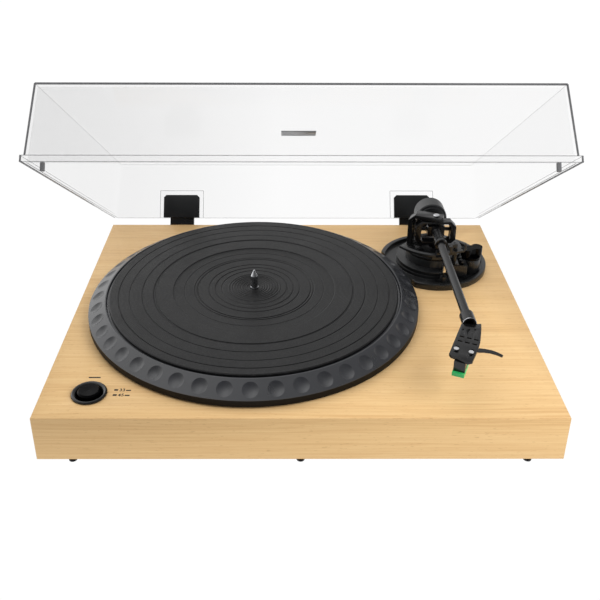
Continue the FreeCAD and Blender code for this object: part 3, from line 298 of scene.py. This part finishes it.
def fibre_board():
    """Dark hardboard: pressed brown-black fibres in every direction."""
    paint = Paint("fibre_board", Roughness=0.78)
    long_one = paint.noise((900, 160, 400), 3)
    long_two = paint.noise((160, 900, 400), 3, 6)
    fibres = paint.maths("MAXIMUM", long_one, long_two)
    paint.set("Base Color", paint.ramp(fibres, (0.42, shade(38, 32, 28)), (0.72, shade(70, 60, 52))))
    paint.set("Normal", paint.bump(fibres, 0.05 * MM))
    return paint.made


def stylus_green():
    """Translucent green moulding, lighter towards the side that the light comes through."""
    paint = Paint("stylus_moulding", IOR=1.5)
    low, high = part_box("stylus")
    split = paint.add("ShaderNodeSeparateXYZ", {0: paint.where}).outputs
    through = paint.range(split[0], low.x + 5.5 * MM, high.x - 0.5 * MM)
    through = paint.maths("ADD", through, paint.range(paint.noise(500, 2), 0.3, 0.7, -0.08, 0.08))
    paint.set("Base Color", paint.ramp(through, (0.2, shade(46, 168, 92)), (0.75, shade(128, 230, 150))))
    paint.set("Roughness", paint.range(paint.noise(200, 2, 4), 0.3, 0.7, 0.22, 0.32))
    paint.set("Normal", paint.bump(paint.noise(1500, 2), 0.008 * MM))
    paint.set("Subsurface Weight", 0.15)
    paint.set("Subsurface Scale", 0.003)
    return paint.made


platter_low, platter_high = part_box("platter")
PLATTER = (platter_low + platter_high) / 2

paints = {
    "beech_veneer": beech("beech_along_x", "x", 0.0),
    "base_board": fibre_board(),
    "steel": bare_metal("zinc_steel", (176, 178, 180), 0.32, (1, 1, 0.1)),
    "chrome": bare_metal("chrome_plate", (226, 227, 230), 0.1, (1, 1, 0.3)),
    "bronze": bare_metal("oiled_bronze", (178, 138, 88), 0.34, (1, 1, 0.1)),
    "black_rubber": rubber("black_rubber", (24, 24, 25), 0.75),
    "mat_rubber": mat_rubber(PLATTER.x, PLATTER.y),
    "black_plastic": moulded("black_plastic", (19, 20, 21), 0.3, 0.5),
    "gloss_black": moulded("gloss_black", (2, 2, 3), 0.26, 0.07, 0.9, 0.003, 3),
    "platter_charcoal": platter_paint(PLATTER.x, PLATTER.y),
    "arm_black": moulded("arm_black", (13, 13, 14), 0.27, 0.42, 0.6, 0.004, 2),
    "cylinder_black": moulded("cylinder_black", (24, 24, 25), 0.3, 0.5),
    "bracket_black": moulded("bracket_black", (34, 35, 36), 0.48, 0.35, 0.35, 0.03),
    "weight_grey": moulded("weight_grey", (36, 37, 38), 0.38, 0.5, 0.4, 0.015),
    "stylus_green": stylus_green(),
    "board_green": printed_board(),
    # The last number given to an acrylic sheet is its heavier veil at the left end, painted shade.
    "clear_acrylic": clear_acrylic("acrylic_sheet", 120, 0.032, 0.092),
    "badge_silver": bare_metal("badge_brushed", (178, 180, 184), 0.38, (0.05, 1, 1)),
}
# Painted shade: the cover's side walls get a heavier veil than its other sheets.
paints["acrylic_side_shade"] = clear_acrylic("acrylic_side_shade", 120, 0.05, 0.11)
# Painted shade: grey, mostly opaque sheets for rods along the cover's edges, where thick acrylic looks dark.
paints["acrylic_edge_shade"] = clear_acrylic("acrylic_edge_shade", 90, 0.85)
paints["acrylic_line_shade"] = clear_acrylic("acrylic_line_shade", 96, 0.42)
special = {
    "base_screws": bare_metal("black_oxide", (40, 40, 42), 0.4),
    "lid_bumpers": rubber("grey_rubber", (104, 104, 106), 0.6),
    "button_bezel": moulded("bezel_black", (14, 14, 15), 0.16, 0.6, 0.6, 0.004, 3),
    "cartridge_screws": bare_metal("bright_screws", (246, 246, 248), 0.26),
    "front_board": beech("beech_front", "x", 21.0),
    "back_board": beech("beech_back", "x", 42.0),
    "left_board": beech("beech_left", "y", 63.0),
    "right_board": beech("beech_right", "y", 84.0),
}


# ---------------------------------------------------------------- pieces

def paint_for(node):
    return special.get(node) or paints[nodes[node].data.materials[0].name]


def body_of(node):
    return next(name for name, empty in frame["bodies"].items() if empty is nodes[node].parent)


def new_piece(name, mesh, body, slot, paint, *stands_for):
    """A visual piece that rides on a body and stands for the CAD nodes named."""
    made = bpy.data.objects.new(name, mesh)
    bpy.context.scene.collection.objects.link(made)
    mesh.materials.append(paint)
    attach(made, body)
    if stands_for:
        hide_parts(*stands_for)
    return made


def smooth_mesh(name, shape, sharp_from=30):
    """A mesh from a bmesh, smooth except along edges sharper than an angle in degrees."""
    for face in shape.faces:
        face.smooth = True
    mesh = bpy.data.meshes.new(name)
    shape.to_mesh(mesh)
    shape.free()
    mesh.set_sharp_from_angle(angle=math.radians(sharp_from))
    return mesh


def eased(node, width):
    """The CAD node's shape with every edge sharper than 30 degrees rounded by a width in millimetres."""
    shape = bmesh.new()
    shape.from_mesh(nodes[node].data)
    bmesh.ops.remove_doubles(shape, verts=shape.verts, dist=0.005 * MM)
    flat = math.radians(0.5)
    bmesh.ops.dissolve_limit(shape, angle_limit=flat, verts=shape.verts, edges=shape.edges)
    for face in shape.faces:
        face.smooth = True
    mesh = bpy.data.meshes.new(node + "_eased")
    shape.to_mesh(mesh)
    shape.free()
    slot = nodes[node].data.materials[0].name
    made = new_piece(node + "_eased", mesh, body_of(node), slot, paint_for(node), node)
    bevel = made.modifiers.new("eased_edges", "BEVEL")
    bevel.limit_method = "ANGLE"
    bevel.angle_limit = math.radians(30)
    bevel.width = width * MM
    bevel.segments = 2
    bevel.harden_normals = True
    return made


# The hinges' line, and the turn from the closed cover to the raised one shown at rest.
LID_AXIS = Vector((0, 0.1883, 0.0464))
LID_RAISED = Matrix.Rotation(math.radians(-33.6), 3, "X")


def clear_lid():
    """The dust cover's clear sheets; its two side walls get a heavier veil as painted shade."""
    shape = bmesh.new()
    shape.from_mesh(nodes["dust_cover"].data)
    bmesh.ops.remove_doubles(shape, verts=shape.verts, dist=0.005 * MM)
    bmesh.ops.dissolve_limit(shape, angle_limit=math.radians(0.5), verts=shape.verts, edges=shape.edges)
    for face in shape.faces:
        face.smooth = False
        # Side walls take the heavier-veiled sheet, as painted shade.
        face.material_index = 1 if abs(face.normal.x) > 0.985 else 0
    mesh = bpy.data.meshes.new("dust_cover_clear")
    shape.to_mesh(mesh)
    shape.free()
    lid = new_piece("dust_cover_clear", mesh, "lid", "clear_acrylic", paints["clear_acrylic"], "dust_cover")
    mesh.materials.append(paints["acrylic_side_shade"])
    lid.visible_shadow = False


def lid_edges(name, paint, lines):
    """Grey rods laid as painted shade along the cover's edges: two ends from the hinge line, closed, and
    their radii.
    """
    shape = bmesh.new()
    for start, end, start_radius, end_radius in lines:
        along = LID_RAISED @ (Vector(end) - Vector(start))
        middle = LID_AXIS + LID_RAISED @ ((Vector(start) + Vector(end)) / 2) * MM
        turn = Vector((0, 0, 1)).rotation_difference(along).to_matrix().to_4x4()
        bmesh.ops.create_cone(
            shape, cap_ends=True, segments=8, radius1=start_radius * MM, radius2=end_radius * MM,
            depth=along.length * MM, matrix=Matrix.Translation(middle) @ turn,
        )
    made = new_piece(name, smooth_mesh(name, shape), "lid", "clear_acrylic", paints[paint])
    made.visible_shadow = False


def lid_edge_lines():
    """Where the painted shade lines along the cover's edges run, closed: strong at the front and the lip's
    sides, faint elsewhere.
    """
    strong, faint = [], []
    back = -11.2
    hinge_x, half_window, window_y, window_low, window_high = 141.5, 26.4, -15.2, 16.4, 49.9
    strong.append(((-217.6, -359.1, 82.8), (217.6, -359.1, 82.8), 0.98, 0.98))
    faint.append(((-225, -366.4, 16.5), (225, -366.4, 16.5), 0.4, 0.4))
    faint.append(((-224.8, -366.4, 21.7), (224.8, -366.4, 21.7), 0.35, 0.35))
    faint.append(((-220.4, back, 16.5), (220.4, back, 16.5), 0.25, 0.25))
    faint.append(((-218, back, 83.2), (218, back, 83.2), 0.2, 0.2))
    for side in (-1, 1):
        strong.append(((side * 217.6, -359.1, 82.8), (side * 222.2, -363.6, 22.4), 0.92, 0.85))
        strong.append(((side * 224.7, -366, 16.7), (side * 224.7, -366, 21.6), 0.8, 0.8))
        strong.append(((side * 224.9, -366, 17), (side * 224.9, -120, 17), 0.8, 0.75))
        faint.append(((side * 224.9, -120, 17), (side * 224.9, back, 17), 0.75, 0.55))
        faint.append(((side * 225.2, -366.4, 21.8), (side * 225.2, back, 21.8), 0.25, 0.2))
        faint.append(((side * 220.8, -361.6, 16.5), (side * 220.8, -14, 16.5), 0.4, 0.35))
        faint.append(((side * 217.9, -359, 83), (side * 217.9, -11.4, 83), 0.16, 0.16))
        inner, outer = side * hinge_x - half_window, side * hinge_x + half_window
        for x in (inner, outer):
            faint.append(((x, window_y, window_low), (x, window_y, window_high), 0.3, 0.3))
        faint.append(((inner, window_y, window_high), (outer, window_y, window_high), 0.3, 0.3))
    lid_edges("dust_cover_edge_shade", "acrylic_edge_shade", strong)
    lid_edges("dust_cover_line_shade", "acrylic_line_shade", faint)


def turned(name, profile, x, y, segments=256):
    """A solid of revolution about an upright axis; each profile point is a radius and a height."""
    shape = bmesh.new()
    rings = []
    for radius, z in profile:
        ring = []
        for step in range(segments):
            angle = math.tau * step / segments
            ring.append(shape.verts.new((x + radius * math.cos(angle), y + radius * math.sin(angle), z)))
        rings.append(ring)
    for inner, outer in zip(rings, rings[1:] + rings[:1]):
        for step in range(segments):
            after = (step + 1) % segments
            shape.faces.new((inner[step], outer[step], outer[after], inner[after]))
    bmesh.ops.recalc_face_normals(shape, faces=shape.faces)
    return smooth_mesh(name, shape, 40)


def mat_height(radius):
    """How far the mat's face lies below its highest face, at a radius; all in millimetres."""
    drop = 0.0
    grooves = (
        (136.0, 0.9, 0.45), (125.0, 0.8, 0.4), (112.5, 0.8, 0.4), (100.5, 2.0, 0.7),
        (70.5, 0.7, 0.3), (60.2, 1.0, 0.5), (57.4, 1.0, 0.5), (46.0, 1.0, 0.45),
        (39.5, 1.0, 0.45), (33.0, 1.0, 0.45),
    )
    for place, wide, deep in grooves:
        off = abs(radius - place) / (wide / 2)
        if off < 1.35:
            drop = max(drop, deep * min(1, (1.35 - off) / 0.7))
    if radius < 82:
        drop += 0.7 * min(1, (82 - radius) / 0.5)
    ripples = (26, 23.2, 20.5, 17.7, 15, 12.3, 10, 8)
    for place in ripples:
        off = abs(radius - place)
        if off < 1.15:
            drop -= 0.45 * (0.5 + 0.5 * math.cos(math.pi * off / 1.15))
    return drop


def mat_profile():
    """The mat's section, from the spindle hole out along its face and back along its underside."""
    low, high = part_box("slip_mat")
    hole, rim = 4.3, (high.x - low.x) / 2 / MM
    top = high.z
    points = [(hole * MM, low.z), (hole * MM, top - (mat_height(hole) + 0.3) * MM)]
    radius = hole + 0.3
    while radius < rim - 1.3:
        points.append((radius * MM, top - mat_height(radius) * MM))
        radius += 0.22 if radius < 30 else 0.3
    for turn in range(7):
        angle = math.pi / 2 * turn / 6
        points.append(((rim - 1.2 + 1.2 * math.sin(angle)) * MM, top - (1.2 - 1.2 * math.cos(angle)) * MM))
    points.append((rim * MM, low.z))
    return points


def bar(name, x, y, wide, deep, z, paint, slot):
    """A thin printed block lying flat on the deck, centred on x and y; sizes in millimetres."""
    tall = 0.06
    shape = bmesh.new()
    bmesh.ops.create_cube(shape, size=1)
    bmesh.ops.scale(shape, vec=(wide * MM, deep * MM, tall * MM), verts=shape.verts)
    bmesh.ops.bevel(shape, geom=shape.edges[:], offset=tall * 0.3 * MM, segments=1, affect="EDGES")
    bmesh.ops.translate(shape, vec=(x * MM, y * MM, z + tall * MM / 2), verts=shape.verts)
    mesh = bpy.data.meshes.new(name)
    shape.to_mesh(mesh)
    shape.free()
    return new_piece(name, mesh, "plinth", slot, paint)


def lettering(name, words, x, y, tall, z, paint, slot):
    """Flat printed numerals, their lower left corner at x and y; sizes in millimetres."""
    curve = bpy.data.curves.new(name, "FONT")
    curve.body = words
    curve.size = tall / 0.69 * MM
    curve.extrude = 0.03 * MM
    curve.offset = 0.09 * MM
    curve.space_character = 1.05
    holder = bpy.data.objects.new(name + "_curve", curve)
    bpy.context.scene.collection.objects.link(holder)
    holder.location = (x * MM, y * MM, z + 0.03 * MM)
    bpy.context.view_layer.update()
    mesh = bpy.data.meshes.new_from_object(holder.evaluated_get(bpy.context.evaluated_depsgraph_get()))
    mesh.transform(holder.matrix_world)
    bpy.data.objects.remove(holder)
    return new_piece(name, mesh, "plinth", slot, paint)


def ring(name, centre, axis, radius, thick, body, slot, paint):
    """A round band of circular section about an axis through its centre."""
    segments, sides = 64, 10
    shape = bmesh.new()
    turn = Vector((0, 0, 1)).rotation_difference(Vector(axis)).to_matrix()
    rows = []
    for step in range(segments):
        angle = math.tau * step / segments
        row = []
        for part in range(sides):
            round_angle = math.tau * part / sides
            out = radius + thick * math.cos(round_angle)
            local = Vector((out * math.cos(angle), out * math.sin(angle), thick * math.sin(round_angle)))
            row.append(shape.verts.new(Vector(centre) + turn @ local))
        rows.append(row)
    for here, after in zip(rows, rows[1:] + rows[:1]):
        for part in range(sides):
            beyond = (part + 1) % sides
            shape.faces.new((here[part], here[beyond], after[beyond], after[part]))
    bmesh.ops.recalc_face_normals(shape, faces=shape.faces)
    return new_piece(name, smooth_mesh(name, shape), body, slot, paint)


# CAD nodes keep their shape and get their finish; those listed after are also softened at the edges.
for name, node in nodes.items():
    for holder in node.material_slots:
        holder.link = "OBJECT"
        holder.material = paint_for(name)

# How far each of these is rounded at its edges, in millimetres.
EASED = {
    "top_board": 0.5, "front_board": 0.5, "back_board": 0.5, "left_board": 0.5, "right_board": 0.5,
    "arm_base": 0.5, "arm_pedestal": 0.5, "yoke": 0.6, "gimbal_ring": 0.5, "arm_housing": 0.4,
    "headshell": 0.3, "cartridge": 0.35, "cue_platform": 0.4, "arm_rest": 0.4, "cue_lever": 0.3,
    "hinge_bracket_left": 0.5, "hinge_bracket_right": 0.5, "hinge_clamp_left": 0.4, "hinge_clamp_right": 0.4,
    "lid_badge": 0.2, "lid_bumpers": 0.6, "stylus": 0.3, "jack_plate": 0.4,
    "arm_clip": 0.3, "button_bezel": 0.3,
}
for name, width in EASED.items():
    eased(name, width)
clear_lid()
lid_edge_lines()

mat_mesh = turned("slip_mat_rings", mat_profile(), PLATTER.x, PLATTER.y)
new_piece("slip_mat_rings", mat_mesh, "platter", "mat_rubber", paints["mat_rubber"], "slip_mat")

# Printed speed marks beside the button: a dash above it, and two numbered positions.
ink = moulded("printed_ink", (22, 20, 19), 0.5, 0.2, 0.3, 0.004)
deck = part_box("top_board")[1].z
bar("mark_speed", -182.8, -123.0, 10.5, 1.6, deck, ink, "black_plastic")
for words, row in (("33", -142.2), ("45", -149.0)):
    bar("mark_icon_" + words, -160.4, row + 1.7, 3.4, 2.2, deck, ink, "black_plastic")
    lettering("mark_" + words, words, -157.6, row, 3.5, deck, ink, "black_plastic")
    bar("mark_rate_" + words, -149.6, row + 1.2, 4.2, 1.5, deck, ink, "black_plastic")

# Bright parts of the arm: the lift's plated sleeve and the ring at the headshell's collar.
bore, outside, foot, top = 1.52 * MM, 2.2 * MM, 0.080, 0.0945
sleeve = [(bore, foot), (outside, foot), (outside, top), (bore, top)]
sleeve_mesh = turned("cue_sleeve", sleeve, 0.154, 0.0336, 48)
new_piece("cue_sleeve", sleeve_mesh, "cue_lift", "chrome", paints["chrome"])
collar_low, collar_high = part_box("head_collar")
collar = (collar_low + collar_high) / 2
ring("collar_ring", (collar.x, collar_low.y + 0.5 * MM, collar.z), (0, 1, 0), 6.0 * MM, 0.5 * MM,
     "tonearm", "chrome", paints["chrome"])


# ---------------------------------------------------------------- stage

def stage_floor():
    """A white floor that gives off even light and so takes no shadow, far larger than the view."""
    shape = bmesh.new()
    bmesh.ops.create_grid(shape, x_segments=1, y_segments=1, size=60)
    mesh = bpy.data.meshes.new("stage_floor")
    shape.to_mesh(mesh)
    shape.free()
    floor = bpy.data.objects.new("stage_floor", mesh)
    floor.location.z = -0.3 * MM
    bpy.context.scene.collection.objects.link(floor)
    paint = Paint("stage_white", Base_Color=(0, 0, 0, 1), Roughness=1, Specular_IOR_Level=0)
    paint.set("Emission Color", (1, 1, 1, 1))
    paint.set("Emission Strength", 1.02)
    mesh.materials.append(paint.made)
    return floor


def surroundings():
    """A soft white studio, brightest overhead and to the left, dimmer low down and behind the camera."""
    world = bpy.data.worlds.new("studio")
    bpy.context.scene.world = world
    world.use_nodes = True
    tree = world.node_tree
    background = tree.nodes["Background"]
    background.inputs["Color"].default_value = (1, 1, 1, 1)
    where = tree.nodes.new("ShaderNodeTexCoord")
    split = tree.nodes.new("ShaderNodeSeparateXYZ")
    tree.links.new(where.outputs["Generated"], split.inputs[0])
    strength = None
    for axis, low, high, to_low, to_high in (
        ("X", -0.9, 0.7, 1.6, 0.4), ("Y", -0.8, 0.9, 0.2, 1.35), ("Z", 0.6, 1.0, 0.78, 1.6),
    ):
        fade = tree.nodes.new("ShaderNodeMapRange")
        fade.interpolation_type = "SMOOTHSTEP"
        tree.links.new(split.outputs[axis], fade.inputs["Value"])
        for place, value in enumerate((low, high, to_low, to_high), 1):
            fade.inputs[place].default_value = value
        if strength:
            both = tree.nodes.new("ShaderNodeMath")
            both.operation = "MULTIPLY"
            tree.links.new(strength, both.inputs[0])
            tree.links.new(fade.outputs["Result"], both.inputs[1])
            strength = both.outputs[0]
        else:
            strength = fade.outputs["Result"]
    tree.links.new(strength, background.inputs["Strength"])


def lamp(name, place, target, wide, tall, watts):
    """A softbox that faces its target; it lights surfaces but is not mirrored in them."""
    data = bpy.data.lights.new(name, "AREA")
    data.shape = "RECTANGLE"
    data.size = wide
    data.size_y = tall
    data.energy = watts
    made = bpy.data.objects.new(name, data)
    bpy.context.scene.collection.objects.link(made)
    made.location = place
    made.visible_glossy = False
    aim = Vector(target) - Vector(place)
    made.rotation_euler = aim.to_track_quat("-Z", "Y").to_euler()
    return made


def camera():
    """A short telephoto looking down at the deck, level but for a hair of roll."""
    data = bpy.data.cameras.new("camera")
    data.lens = 48.32
    data.sensor_width = 36
    data.shift_x = 0.0137
    data.shift_y = -0.1399
    made = bpy.data.objects.new("camera", data)
    bpy.context.scene.collection.objects.link(made)
    yaw, pitch, roll = math.radians(0.35), math.radians(26.21), math.radians(0.21)
    forward = Vector((math.sin(yaw) * math.cos(pitch), math.cos(yaw) * math.cos(pitch), -math.sin(pitch)))
    level = Vector((math.cos(yaw), -math.sin(yaw), 0))
    up = level.cross(forward)
    right = math.cos(roll) * level + math.sin(roll) * up
    above = math.cos(roll) * up - math.sin(roll) * level
    turn = Matrix((right, above, -forward)).transposed().to_4x4()
    made.matrix_world = Matrix.Translation((-0.0116, -0.70308, 0.50784)) @ turn
    bpy.context.scene.camera = made


stage_floor()
surroundings()
lamp("key_right", (0.85, -0.62, 0.74), (0.2, -0.1, 0.05), 0.9, 0.9, 12)
camera()
bpy.context.scene.view_settings.view_transform = "Standard"
